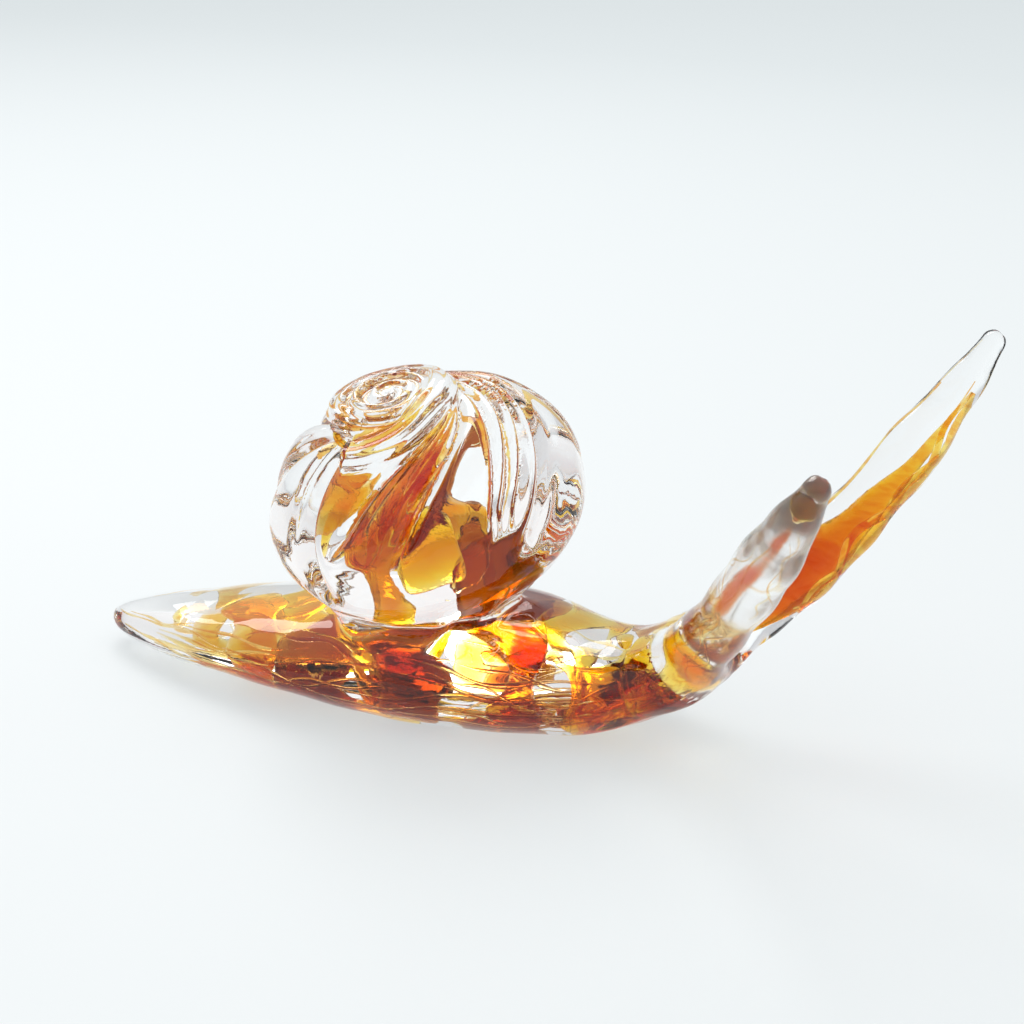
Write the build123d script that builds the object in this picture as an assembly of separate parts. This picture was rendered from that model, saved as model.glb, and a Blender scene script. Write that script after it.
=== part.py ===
from build123d import *
import math
import os
from collections import namedtuple

# A snail sculpted from hot glass: four clear gathers fused to one another, with amber chips cased inside them.
# +X runs to the head, +Z is up and -Y is the snail's right. The origin is on the face that it rests on, under
# the middle of the shell. Lengths are millimetres and angles are degrees.

# Foot and tail
FOOT_WIDTH = 60.0
FOOT_HEIGHT = 28.0
FOOT_CENTRE = 12.0
TAIL_REACH = 89.0
TAIL_TIP_TOP = 10.5
TAIL_TIP_CENTRE = 6.0

# Neck, which bends up from the foot along an arc, and head
NECK_START = 40.0
NECK_BEND_RADIUS = 43.5
SADDLE_CENTRE = 11.0
SADDLE_WIDTH = 46.0
SADDLE_THICKNESS = 24.5
HEAD_PITCH = 43.0
HEAD_WIDTH = 29.0
HEAD_THICKNESS = 17.0
NOSE_LENGTH = 4.0

# Tentacles, each drawn out from the head to its own tip
TENTACLE_ROOT_SPREAD = 6.0
THROAT_STATION = 1.85
LEFT_TIP_REACH = 124.5
LEFT_TIP_SPREAD = 36.0
LEFT_TIP_HEIGHT = 93.5
LEFT_SAG = 7.5
LEFT_BASE_DIAMETER = 16.5
LEFT_WAIST_DIAMETER = 12.2
LEFT_KNOB_DIAMETER = 13.6
LEFT_TIP_DIAMETER = 7.2
RIGHT_TIP_REACH = 107.0
RIGHT_TIP_SPREAD = 41.5
RIGHT_TIP_HEIGHT = 79.5
RIGHT_SAG = 3.0
RIGHT_BASE_DIAMETER = 16.0
RIGHT_WAIST_DIAMETER = 11.6
RIGHT_KNOB_DIAMETER = 14.2
RIGHT_TIP_DIAMETER = 6.0

# Shell, a round gather twisted into ribs and leaning towards the snail's right and tail
SHELL_DIAMETER = 75.0
SHELL_HEIGHT = 52.0
SHELL_SINK = 5.0
SHELL_LEAN_RIGHT = 16.5
SHELL_LEAN_BACK = 6.0
SHELL_TWIST = 17.5
SHELL_WINDING = 9.4
CROWN_DIAMETER = 40.0
COIL_DIAMETER = 33.0
COIL_HEIGHT = 4.6
COIL_ROUNDING = 2.2
BUTTON_DIAMETER = 20.0
BUTTON_HEIGHT = 2.2
BUTTON_ROUNDING = 1.4
CROWN_SHIFT_BACK = 2.6
CROWN_SHIFT_RIGHT = 1.2
SEAT_LATITUDE = -70.0
BOWL_LATITUDE = -32.0
VALLEY_FADE_IN = 14.0
VALLEY_FADE_OUT = 8.0

# Colour: the clear glass left over every chip
COVER = 2.5

# How a tail and a chip taper
TAIL_FULLNESS = 1.6
TAIL_TAPER = 0.62
TAIL_TOP_TAPER = 0.9
TIP_ROUNDING = 12
SADDLE_TAPER = 2.0
CHIP_END_SHARE = 0.55

# Where the sections of a tentacle or a streak lie along it, with closer ones added near its end
RING_PLACES = (0.0, 0.1, 0.2, 0.3, 0.4, 0.5, 0.6, 0.7, 0.8, 0.9)

SHELL_RADIUS = SHELL_DIAMETER / 2
SHELL_RISE = SHELL_HEIGHT / 2
SHELL_LEAN = math.radians(math.hypot(SHELL_LEAN_RIGHT, SHELL_LEAN_BACK))
SHELL_DROP = math.hypot(SHELL_RADIUS * math.sin(SHELL_LEAN), SHELL_RISE * math.cos(SHELL_LEAN))
SEAT_HEIGHT = FOOT_HEIGHT - SHELL_SINK
SHELL_PLACE = Location(
    (0, 0, SEAT_HEIGHT + SHELL_DROP),
    (SHELL_LEAN_RIGHT, -SHELL_LEAN_BACK, 0),
)

Section = namedtuple("Section", "x z pitch half_width rise drop half_height")
Valley = namedtuple("Valley", "longitude share depth south north")
BodyChip = namedtuple("BodyChip", "name start end right left low high")
ShellChip = namedtuple("ShellChip", "name south north west east inner outer")


def body_section(station):
    """Gives the body's ellipse at a station: -1 is the tail tip, 0 the middle of the shell, 1 the saddle
    where the neck starts to bend and 2 the head. rise and drop are what stays clear of the shell's seat and
    of the resting face."""
    if station < 0:
        back = -station
        half_width = FOOT_WIDTH / 2 * (1 - back**TAIL_FULLNESS) ** TAIL_TAPER
        top = FOOT_HEIGHT - (FOOT_HEIGHT - TAIL_TIP_TOP) * back**TAIL_TOP_TAPER
        x, pitch = -TAIL_REACH * back, 0.0
        z = FOOT_CENTRE + (TAIL_TIP_CENTRE - FOOT_CENTRE) * back
        half_height = (top - z) * math.sqrt(1 - back**TIP_ROUNDING)
        rise = min(half_height, SEAT_HEIGHT - z)
    elif station <= 1:
        narrowing = station**SADDLE_TAPER
        half_width = (FOOT_WIDTH + (SADDLE_WIDTH - FOOT_WIDTH) * narrowing) / 2
        top = FOOT_HEIGHT + (SADDLE_CENTRE + SADDLE_THICKNESS / 2 - FOOT_HEIGHT) * narrowing
        x, pitch = NECK_START * station, 0.0
        z = FOOT_CENTRE + (SADDLE_CENTRE - FOOT_CENTRE) * narrowing
        half_height = top - z
        rise = min(half_height, SEAT_HEIGHT - z)
    else:
        bend = station - 1
        pitch = math.radians(HEAD_PITCH) * bend
        x = NECK_START + NECK_BEND_RADIUS * math.sin(pitch)
        z = SADDLE_CENTRE + NECK_BEND_RADIUS * (1 - math.cos(pitch))
        half_width = (SADDLE_WIDTH + (HEAD_WIDTH - SADDLE_WIDTH) * bend) / 2
        half_height = (SADDLE_THICKNESS + (HEAD_THICKNESS - SADDLE_THICKNESS) * bend) / 2
        rise = half_height
    drop = min(half_height, z / math.cos(pitch))
    return Section(x, z, pitch, half_width, rise, drop, half_height)


def body_plane(section):
    """Puts a plane across the body, with its own X to the snail's left and its own Y up."""
    forward = (math.cos(section.pitch), 0, math.sin(section.pitch))
    return Plane(origin=(section.x, 0, section.z), x_dir=(0, 1, 0), z_dir=forward)


def body_form():
    """Lofts the tail, foot, neck and head in one and cuts the resting face flat."""
    tail_stations = (-0.985, -0.94, -0.85, -0.7, -0.5, -0.25)
    front_stations = (0.0, 0.5, 1.0, 1.35, 1.7, 2.0)
    rings = []
    for station in tail_stations + front_stations:
        section = body_section(station)
        ellipse = body_plane(section) * Ellipse(section.half_width, section.half_height)
        rings.append(ellipse.face().outer_wire())
    tail_tip = Vertex(-TAIL_REACH, 0, TAIL_TIP_CENTRE)
    nose = Vertex(*(body_plane(body_section(2.0)) * Pos(0, 0, NOSE_LENGTH)).position)
    form = Solid.make_loft([tail_tip] + rings + [nose])
    reach = 2 * (TAIL_REACH + LEFT_TIP_REACH)
    above_floor = Pos(0, 0, reach / 2) * Box(reach, reach, reach)
    return (form & above_floor).solid()


def core_corner(section, side, level):
    """Gives a point of the body's coloured core on the section's own plane: side runs from -1 on the snail's
    right to 1 on its left, and level from -1 at the bottom to 1 at the top."""
    room = section.rise if level > 0 else section.drop
    up = level * (room - COVER)
    across = side * (section.half_width * math.sqrt(1 - (up / section.half_height) ** 2) - COVER)
    return across, up


def chip_outline(plane, corners, share):
    """Draws a chip's outline on a plane, drawn in to a share of its size about its own middle."""
    middle_x = sum(x for x, _ in corners) / len(corners)
    middle_y = sum(y for _, y in corners) / len(corners)
    drawn_in = [(middle_x + share * (x - middle_x), middle_y + share * (y - middle_y)) for x, y in corners]
    return (plane * make_face(Polyline(*drawn_in, close=True))).face().outer_wire()


def body_chip(chip):
    """Makes a faceted chip of colour between two stations of the body."""
    outlines = []
    for station, share in (
        (chip.start, CHIP_END_SHARE),
        ((chip.start + chip.end) / 2, 1.0),
        (chip.end, CHIP_END_SHARE),
    ):
        section = body_section(station)
        corners = [
            core_corner(section, side, level)
            for side, level in (
                (chip.right, chip.low),
                (chip.left, chip.low),
                (chip.left, chip.high),
                (chip.right, chip.high),
            )
        ]
        outlines.append(chip_outline(body_plane(section), corners, share))
    return Solid.make_loft(outlines, ruled=True)


CROWN_LATITUDE = math.degrees(math.acos(CROWN_DIAMETER / SHELL_DIAMETER))


# Valleys of the shell, in order round it. Each has its longitude at the widest ring, the share of the twist that
# it takes, its depth, and the latitudes between which it runs. The rope lies between the second and the third,
# and the next four part the ridges of a fan.
VALLEYS = (
    Valley(-113.0, -0.3, 4.4, -26, 50),
    Valley(-103.0, 0.95, 3.8, 10, 50),
    Valley(-77.0, 1.2, 3.6, 8, 50),
    Valley(-43.0, 1.2, 2.2, 6, 50),
    Valley(-41.0, 1.7, 2.2, 8, 50),
    Valley(-38.0, 2.2, 2.4, 8, 50),
    Valley(-27.0, 2.5, 2.8, -8, 50),
    Valley(28.0, 1.8, 3.8, -30, 50),
    Valley(66.0, 1.4, 3.6, -24, 50),
    Valley(98.0, 1.1, 4.0, -28, 50),
    Valley(131.0, 0.8, 3.6, -20, 50),
    Valley(163.0, 0.5, 4.0, -28, 50),
    Valley(200.0, 0.2, 4.2, -28, 50),
)


def eased(low, high, value):
    """Rises smoothly from 0 at the low value to 1 at the high one."""
    share = min(max((value - low) / (high - low), 0.0), 1.0)
    return share * share * (3 - 2 * share)


def shell_turn(latitude):
    """Gives the twist of the shell at a latitude, winding up above its widest ring towards the crown."""
    climb = math.asinh(math.tan(math.radians(max(latitude, 0.0))))
    return SHELL_TWIST * climb + SHELL_WINDING * climb**3


def valley_depth(valley, latitude):
    """Gives a valley's depth, which fades out at both its ends."""
    fade_in = eased(valley.south, valley.south + VALLEY_FADE_IN, latitude)
    fade_out = eased(valley.north, valley.north + VALLEY_FADE_OUT, latitude)
    return valley.depth * fade_in * (1 - fade_out)


def valley_longitude(valley, latitude):
    return valley.longitude + valley.share * shell_turn(latitude)


def shell_point(latitude, longitude, radius):
    """Places a point of the shell in its own frame by the latitude of its ring."""
    angle = math.radians(longitude)
    height = SHELL_RISE * math.sin(math.radians(latitude))
    return Vector(radius * math.cos(angle), radius * math.sin(angle), height)


def shell_ring(latitude):
    """Draws one ring of the shell with an arc from each valley to the next."""
    crest = SHELL_RADIUS * math.cos(math.radians(latitude))
    arcs = []
    for place, valley in enumerate(VALLEYS):
        after = VALLEYS[(place + 1) % len(VALLEYS)]
        start = valley_longitude(valley, latitude)
        end = valley_longitude(after, latitude)
        if place == len(VALLEYS) - 1:
            end += 360.0
        arcs.append(
            Edge.make_three_point_arc(
                shell_point(latitude, start, crest - valley_depth(valley, latitude)),
                shell_point(latitude, (start + end) / 2, crest),
                shell_point(latitude, end, crest - valley_depth(after, latitude)),
            )
        )
    return Wire(arcs)


def shell_bowl():
    """Lofts the plain bowl at the foot of the shell, which sits in the body."""
    ring_count = 4
    rings = []
    for ring in range(ring_count):
        latitude = SEAT_LATITUDE + (BOWL_LATITUDE - SEAT_LATITUDE) * ring / (ring_count - 1)
        circle = Circle(SHELL_RADIUS * math.cos(math.radians(latitude)))
        height = SHELL_RISE * math.sin(math.radians(latitude))
        rings.append((Pos(0, 0, height) * circle).face().outer_wire())
    return Solid.make_loft(rings)


def shell_form():
    """Lofts the shell on its bowl through rings that crowd towards the crown, and sets the coil and the
    button of the crown on top as two round tiers."""
    ring_count = 11
    crowding = 1.6
    rings = []
    for ring in range(ring_count):
        climb = 1 - (1 - ring / (ring_count - 1)) ** crowding
        rings.append(shell_ring(BOWL_LATITUDE + (CROWN_LATITUDE - BOWL_LATITUDE) * climb))
    crown_floor = SHELL_RISE * math.sin(math.radians(CROWN_LATITUDE))
    coil = shell_tier(COIL_DIAMETER, crown_floor, COIL_HEIGHT, COIL_ROUNDING)
    button = shell_tier(BUTTON_DIAMETER, crown_floor + COIL_HEIGHT, BUTTON_HEIGHT, BUTTON_ROUNDING)
    crown = Pos(-CROWN_SHIFT_BACK, -CROWN_SHIFT_RIGHT, 0) * (coil + button)
    return SHELL_PLACE * (Solid.make_loft(rings) + crown + shell_bowl()).solid()


def shell_tier(diameter, floor, height, rounding):
    """Makes one round tier of the crown, rounded at its top."""
    tier = Pos(0, 0, floor) * Cylinder(diameter / 2, height, align=(Align.CENTER, Align.CENTER, Align.MIN))
    top_edge = tier.edges().sort_by(Axis.Z)[-1]
    return fillet(top_edge, rounding)


def shell_chip(chip):
    """Makes a faceted chip of colour between two latitudes and two longitudes of the shell."""
    outlines = []
    for latitude, share in (
        (chip.south, CHIP_END_SHARE),
        ((chip.south + chip.north) / 2, 1.0),
        (chip.north, CHIP_END_SHARE),
    ):
        deepest = max(valley_depth(valley, latitude) for valley in VALLEYS)
        room = SHELL_RADIUS * math.cos(math.radians(latitude)) - deepest - COVER
        corners = [
            shell_point(latitude, longitude + shell_turn(latitude), room * depth)
            for longitude, depth in (
                (chip.west, chip.inner),
                (chip.west, chip.outer),
                (chip.east, chip.outer),
                (chip.east, chip.inner),
            )
        ]
        level = Plane(origin=(0, 0, corners[0].Z))
        outlines.append(chip_outline(level, [(corner.X, corner.Y) for corner in corners], share))
    return SHELL_PLACE * Solid.make_loft(outlines, ruled=True)


def tentacle_path(side, tip, sag):
    """Draws the middle line of a tentacle from inside the neck to its tip, with its middle sagging."""
    throat = body_section(THROAT_STATION)
    root = Vector(throat.x, side * TENTACLE_ROOT_SPREAD, throat.z)
    middle = (root + tip) * 0.5 - Vector(0, 0, 2 * sag)
    return Bezier(root, middle, tip)


def tentacle_diameter(stations, along):
    """Eases a tentacle's diameter between its stations and rounds it off at the tip."""
    after = next(i for i in range(1, len(stations)) if stations[i][0] >= along)
    (low, low_diameter), (high, high_diameter) = stations[after - 1], stations[after]
    share = (along - low) / (high - low)
    eased = share * share * (3 - 2 * share)
    diameter = low_diameter + (high_diameter - low_diameter) * eased
    return diameter * math.sqrt(1 - along**TIP_ROUNDING)


def tentacle_ring(path, along, diameter):
    """Draws a round section across a tentacle."""
    across = Plane(origin=path @ along, x_dir=(0, 1, 0), z_dir=path % along)
    return (across * Circle(diameter / 2)).face().outer_wire()


def tentacle_form(path, stations):
    """Lofts a tentacle through its round sections to its tip."""
    rings = [
        tentacle_ring(path, along, tentacle_diameter(stations, along)) for along in RING_PLACES + (0.96, 0.99)
    ]
    return Solid.make_loft(rings + [Vertex(*(path @ 1.0))])


def tentacle_streak(path, stations, start, end):
    """Lofts a streak of colour that fills a tentacle to its cover at the start and thins to a point."""
    rings = []
    for share in RING_PLACES + (0.96,):
        along = start + share * (end - start)
        room = tentacle_diameter(stations, along) - 2 * COVER
        rings.append(tentacle_ring(path, along, room * (1 - share)))
    return Solid.make_loft(rings + [Vertex(*(path @ end))])


LEFT_STATIONS = (
    (0.0, LEFT_BASE_DIAMETER),
    (0.38, LEFT_BASE_DIAMETER),
    (0.62, LEFT_WAIST_DIAMETER),
    (0.75, LEFT_KNOB_DIAMETER),
    (1.0, LEFT_TIP_DIAMETER),
)
RIGHT_STATIONS = (
    (0.0, RIGHT_BASE_DIAMETER),
    (0.42, RIGHT_WAIST_DIAMETER),
    (0.65, RIGHT_KNOB_DIAMETER),
    (1.0, RIGHT_TIP_DIAMETER),
)

# Where the streaks of colour start and end along their tentacles
LEFT_STREAK = (0.34, 0.82)
RIGHT_STREAK = (0.38, 0.64)
RIGHT_TIP_STREAK = (0.67, 0.94)

BODY_CHIPS = (
    BodyChip("tail_honey_chip", -0.92, -0.66, -0.8, 0.05, -0.8, 0.8),
    BodyChip("tail_amber_chip", -0.84, -0.58, 0.2, 0.8, -0.8, 0.7),
    BodyChip("hip_amber_chip", -0.62, -0.37, -0.9, -0.1, -0.8, 0.8),
    BodyChip("far_hip_honey_chip", -0.54, -0.28, 0.05, 0.85, -0.7, 0.8),
    BodyChip("flank_honey_chip", -0.34, -0.1, -0.95, -0.35, -0.1, 0.95),
    BodyChip("flank_umber_chip", -0.34, -0.06, -0.95, -0.2, -0.9, -0.25),
    BodyChip("keel_amber_chip", -0.24, 0.12, -0.1, 0.3, -0.8, 0.7),
    BodyChip("far_flank_amber_chip", -0.24, 0.16, 0.42, 0.9, -0.8, 0.8),
    BodyChip("belly_umber_chip", -0.03, 0.4, -0.9, -0.25, -0.8, 0.8),
    BodyChip("far_belly_umber_chip", 0.22, 0.64, 0.05, 0.85, -0.8, 0.6),
    BodyChip("fold_amber_chip", 0.46, 0.96, -0.9, -0.15, -0.8, 0.8),
    BodyChip("saddle_honey_chip", 0.72, 1.14, 0.1, 0.8, -0.8, 0.7),
    BodyChip("neck_amber_chip", 1.02, 1.48, -0.9, -0.1, -0.8, 0.7),
    BodyChip("far_neck_umber_chip", 1.22, 1.64, 0.05, 0.85, -0.8, 0.6),
    BodyChip("throat_amber_chip", 1.54, 1.9, -0.85, -0.1, -0.7, 0.7),
    BodyChip("far_throat_honey_chip", 1.68, 1.92, 0.05, 0.75, -0.7, 0.6),
)
SHELL_CHIPS = (
    ShellChip("shell_honey_block", -36, -8, -77, -44, 0.55, 0.95),
    ShellChip("shell_orange_block", -36, -6, -39, -3, 0.5, 0.95),
    ShellChip("shell_umber_veil", -48, -12, 1, 43, 0.4, 0.9),
    ShellChip("shell_left_amber_chip", -40, -8, -125, -83, 0.5, 0.92),
    ShellChip("shell_tail_honey_chip", -44, -10, 165, 225, 0.45, 0.9),
    ShellChip("shell_back_amber_chip", -42, -8, 108, 158, 0.45, 0.9),
    ShellChip("shell_back_umber_chip", -44, -10, 49, 99, 0.4, 0.88),
    ShellChip("shell_rope_streak", 0, 46, -101, -79, 0.6, 0.95),
    ShellChip("shell_window_amber_chip", 2, 40, -73, -46, 0.55, 0.92),
    ShellChip("shell_crown_amber_chip", 4, 48, -142, -108, 0.5, 0.92),
    ShellChip("shell_far_honey_chip", 2, 42, 70, 120, 0.45, 0.88),
    ShellChip("shell_far_amber_chip", 4, 44, 152, 206, 0.45, 0.88),
)

left_path = tentacle_path(1, Vector(LEFT_TIP_REACH, LEFT_TIP_SPREAD, LEFT_TIP_HEIGHT), LEFT_SAG)
right_path = tentacle_path(-1, Vector(RIGHT_TIP_REACH, -RIGHT_TIP_SPREAD, RIGHT_TIP_HEIGHT), RIGHT_SAG)
body = body_form()
shell = shell_form()
body_chips = {chip.name: body_chip(chip) for chip in BODY_CHIPS}
shell_chips = {chip.name: shell_chip(chip) for chip in SHELL_CHIPS}
streaks = {
    "left_tentacle_amber_streak": tentacle_streak(left_path, LEFT_STATIONS, *LEFT_STREAK),
    "right_tentacle_amber_streak": tentacle_streak(right_path, RIGHT_STATIONS, *RIGHT_STREAK),
    "right_tentacle_tip_streak": tentacle_streak(right_path, RIGHT_STATIONS, *RIGHT_TIP_STREAK),
}

# The head takes the roots of both tentacles, which part at the middle plane
half_space = 2 * LEFT_TIP_REACH
left_half = Pos(0, half_space / 2, 0) * Box(2 * half_space, half_space, 2 * half_space)
right_half = mirror(left_half, about=Plane.XZ)
left_tentacle = (tentacle_form(left_path, LEFT_STATIONS) - body) & left_half
right_tentacle = (tentacle_form(right_path, RIGHT_STATIONS) - body) & right_half

pieces = {
    "body_gather": body.cut(shell, *body_chips.values()),
    "shell_gather": shell.cut(*shell_chips.values()),
    "left_tentacle": left_tentacle.cut(streaks["left_tentacle_amber_streak"]),
    "right_tentacle": right_tentacle.cut(
        streaks["right_tentacle_amber_streak"], streaks["right_tentacle_tip_streak"]
    ),
    **body_chips,
    **shell_chips,
    **streaks,
}

os.makedirs("parts", exist_ok=True)
for name, piece in pieces.items():
    export_step(piece, f"parts/{name}.step")
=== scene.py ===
import math

import bpy
import numpy as np
from mathutils import Matrix, Vector


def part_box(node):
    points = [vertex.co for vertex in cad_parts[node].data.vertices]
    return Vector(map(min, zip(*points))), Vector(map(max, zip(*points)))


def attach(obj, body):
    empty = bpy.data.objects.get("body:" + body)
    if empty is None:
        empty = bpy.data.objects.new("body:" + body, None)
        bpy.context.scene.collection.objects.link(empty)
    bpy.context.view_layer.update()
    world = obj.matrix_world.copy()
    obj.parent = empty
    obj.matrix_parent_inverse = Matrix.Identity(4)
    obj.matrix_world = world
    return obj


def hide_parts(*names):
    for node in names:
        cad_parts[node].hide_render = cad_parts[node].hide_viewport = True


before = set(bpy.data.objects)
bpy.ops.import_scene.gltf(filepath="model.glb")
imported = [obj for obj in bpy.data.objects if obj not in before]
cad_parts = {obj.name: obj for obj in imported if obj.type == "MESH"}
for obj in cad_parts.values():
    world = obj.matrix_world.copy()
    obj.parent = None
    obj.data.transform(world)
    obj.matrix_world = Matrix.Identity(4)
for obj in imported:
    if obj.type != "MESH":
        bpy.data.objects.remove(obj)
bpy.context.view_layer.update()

# A snail of hot glass. Shapes are worked out in millimetres as distance fields, negative inside the glass,
# and each piece is skinned from its field. +X runs to the head, +Z is up and -Y is the snail's right.
MM = 0.001
FAR = 99.0
GLASS_INDEX = 1.5

# The four gathers, in the order in which their fields are kept
BODY, SHELL, LEFT, RIGHT = range(4)

# Foot, tail, neck and head, as in the solids
FOOT_HALF_WIDTH = 30.0
FOOT_TOP = 28.0
FOOT_CENTRE = 12.0
TAIL_REACH = 89.0
TAIL_FULLNESS = 1.6
TAIL_TAPER = 0.62
TAIL_TOP_TAPER = 0.9
TAIL_TIP_ROUNDING = 12
TAIL_TIP_TOP = 10.5
TAIL_TIP_CENTRE = 6.0
NECK_START = 40.0
NECK_RADIUS = 43.5
SADDLE_CENTRE = 11.0
SADDLE_HALF_WIDTH = 23.0
SADDLE_HALF_HEIGHT = 12.25
HEAD_PITCH = math.radians(43.0)
HEAD_HALF_WIDTH = 12.4
HEAD_HALF_HEIGHT = 7.0
NOSE_LENGTH = 4.0

# The fold of clear glass in front of the shell, on the snail's right
FOLD_PLACE = (33.3, -19.0, 12.536)
FOLD_RADII = (14.0, 7.0, 5.6)
FOLD_SKEW = 0.3
FOLD_RISE = 0.12
FOLD_BLEND = 2.5

# Shell, as in the solids
SHELL_RADIUS = 37.5
SHELL_RISE = 26.0
SHELL_CENTRE = np.array((0.0, 0.0, 50.25))
SHELL_TURN = np.array(
    Matrix.Rotation(math.radians(16.5), 3, "X") @ Matrix.Rotation(math.radians(-6.0), 3, "Y")
)

# Blends where the gathers are fused
SEAT_BLEND = 7.0
SEAT_UNEVENNESS = 5.0
ROOT_BLEND = 9.0
FORK_BLEND = 6.0
FLOOR_ROUNDING = 1.6


def smooth_min(a, b, reach):
    """Joins two fields with a fillet."""
    near = np.maximum(reach - np.abs(a - b), 0.0) / reach
    return np.minimum(a, b) - near * near * reach / 4


def smooth_max(a, b, reach):
    """Cuts one field by another with a rounded edge."""
    return -smooth_min(-a, -b, reach)


def smoothstep(low, high, value):
    """Eases from 0 at one value to 1 at another, which may be the lower of the two."""
    share = np.clip((value - low) / (high - low), 0.0, 1.0)
    return share * share * (3 - 2 * share)


def ellipsoid(across, radii):
    """Gives the distance to an ellipsoid or, with two lengths, to an ellipse, good near its skin."""
    norm = np.sqrt(sum((a / r) ** 2 for a, r in zip(across, radii)))
    slope = np.sqrt(sum((a / r**2) ** 2 for a, r in zip(across, radii)))
    return norm * (norm - 1) / np.maximum(slope, 1e-6)


def ripple(points, length, shift):
    """Gives a smooth uneven swell between about -1 and 1, as hot glass has."""
    x, y, z = (points / length).T
    swell = np.sin(2.1 * x + 1.3 * y + shift) + np.sin(1.7 * y - 1.1 * z + 2 * shift)
    swell += np.sin(1.9 * z + 0.8 * x - 1.7 * shift)
    return swell / 3


# Cords that the hot glass was drawn into: how many go round, how fast they wind, and their height
NECK_CORDS = ((9, 0.5, 0.13), (17, -0.4, 0.08), (5, 0.9, 0.12))
TENTACLE_CORDS = ((6, 0.7, 0.05), (11, -0.5, 0.02), (4, 1.3, 0.06))


def cords(angle, along, kinds):
    """Gives the relief of the cords at an angle round a piece and a place along it."""
    relief = 0.0
    for count, wind, height in kinds:
        relief = relief + height * np.sin(count * angle + wind * along + 0.8 * np.sin(along + count))
    return relief


def body_field(points):
    """Gives the field of the foot, tail, neck and head."""
    x, y, z = points.T
    # tail and foot
    back = np.clip(-x / TAIL_REACH, 0.0, 0.9995)
    front = np.clip(x / NECK_START, 0.0, 1.0)
    narrowing = front * front
    tail_width = FOOT_HALF_WIDTH * (1 - back**TAIL_FULLNESS) ** TAIL_TAPER
    tail_centre = FOOT_CENTRE + (TAIL_TIP_CENTRE - FOOT_CENTRE) * back
    tail_top = FOOT_TOP - (FOOT_TOP - TAIL_TIP_TOP) * back**TAIL_TOP_TAPER
    tail_height = (tail_top - tail_centre) * np.sqrt(1 - back**TAIL_TIP_ROUNDING)
    half_width = tail_width + (SADDLE_HALF_WIDTH - FOOT_HALF_WIDTH) * narrowing
    centre = tail_centre + (SADDLE_CENTRE - FOOT_CENTRE) * narrowing
    foot_height = FOOT_TOP - FOOT_CENTRE
    half_height = tail_height + (SADDLE_HALF_HEIGHT - foot_height) * narrowing
    foot = ellipsoid((y, z - centre), (half_width, np.maximum(half_height, 0.2)))
    foot = np.maximum(foot, -x - TAIL_REACH)
    # neck and nose
    hub_z = SADDLE_CENTRE + NECK_RADIUS
    angle = np.arctan2(x - NECK_START, hub_z - z)
    bend = np.clip(angle / HEAD_PITCH, 0.0, 1.0)
    pitch = bend * HEAD_PITCH
    neck_x = NECK_START + NECK_RADIUS * np.sin(pitch)
    neck_z = hub_z - NECK_RADIUS * np.cos(pitch)
    along = (x - neck_x) * np.cos(pitch) + (z - neck_z) * np.sin(pitch)
    up = (z - neck_z) * np.cos(pitch) - (x - neck_x) * np.sin(pitch)
    neck_width = SADDLE_HALF_WIDTH + (HEAD_HALF_WIDTH - SADDLE_HALF_WIDTH) * bend
    neck_height = SADDLE_HALF_HEIGHT + (HEAD_HALF_HEIGHT - SADDLE_HALF_HEIGHT) * bend
    along = np.where(angle > HEAD_PITCH, along, 0.0)
    neck = ellipsoid((y, up, along), (neck_width, neck_height, NOSE_LENGTH))
    round_neck = np.arctan2(up / neck_height, y / neck_width)
    neck = neck + cords(round_neck, 7.0 * bend, NECK_CORDS) * smoothstep(0.0, 0.4, bend)
    whole = np.where(x > NECK_START, neck, foot)
    # fold
    fold_x, fold_y, fold_z = (points - FOLD_PLACE).T
    skewed = (fold_x - FOLD_SKEW * fold_y, fold_y, fold_z - FOLD_RISE * fold_x)
    whole = smooth_min(whole, ellipsoid(skewed, FOLD_RADII), FOLD_BLEND)
    return whole + 0.35 * ripple(points, 7.0, 0.4)


# Valleys of the shell: longitude at its equator, share of the crown's twist, depth, width, and the
# latitudes between which it runs, in degrees and millimetres
VALLEYS = (
    (-113.0, -0.3, 5.6, 3.0, -26, 62),
    (-103.0, 0.95, 4.8, 2.0, 10, 72),
    (-77.0, 1.2, 4.6, 2.0, 8, 72),
    (-43.0, 1.2, 3.2, 1.5, 6, 70),
    (-41.0, 1.7, 3.2, 1.5, 8, 70),
    (-38.0, 2.2, 3.4, 1.5, 8, 68),
    (-27.0, 2.5, 3.8, 1.8, -8, 62),
    (28.0, 1.8, 4.6, 2.8, -30, 66),
    (66.0, 1.4, 4.4, 2.6, -24, 66),
    (98.0, 1.1, 4.8, 2.8, -28, 66),
    (131.0, 0.8, 4.4, 2.6, -20, 66),
    (163.0, 0.5, 4.8, 2.8, -28, 64),
    (200.0, 0.2, 5.0, 2.8, -28, 62),
)
# Fine lines that run along the rope and the ridges beside it
LINES = (
    (-95.0, 1.02, 1.0, 0.8, 20, 70),
    (-86.0, 1.1, 1.0, 0.8, 18, 70),
    (-36.0, 1.45, 0.8, 0.7, 24, 64),
    (-30.0, 1.95, 0.8, 0.7, 24, 62),
    (-120.0, -0.4, 1.2, 1.0, 8, 56),
)
ROPE = (-90.0, 1.07, 6.0)
ROPE_HEIGHT = 1.6
CROWN_PLACE = (-2.6, -1.2)
BUTTON_RADIUS = 9.6
BUTTON_TOP = 28.9
BUTTON_FOOT = 20.0
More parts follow.
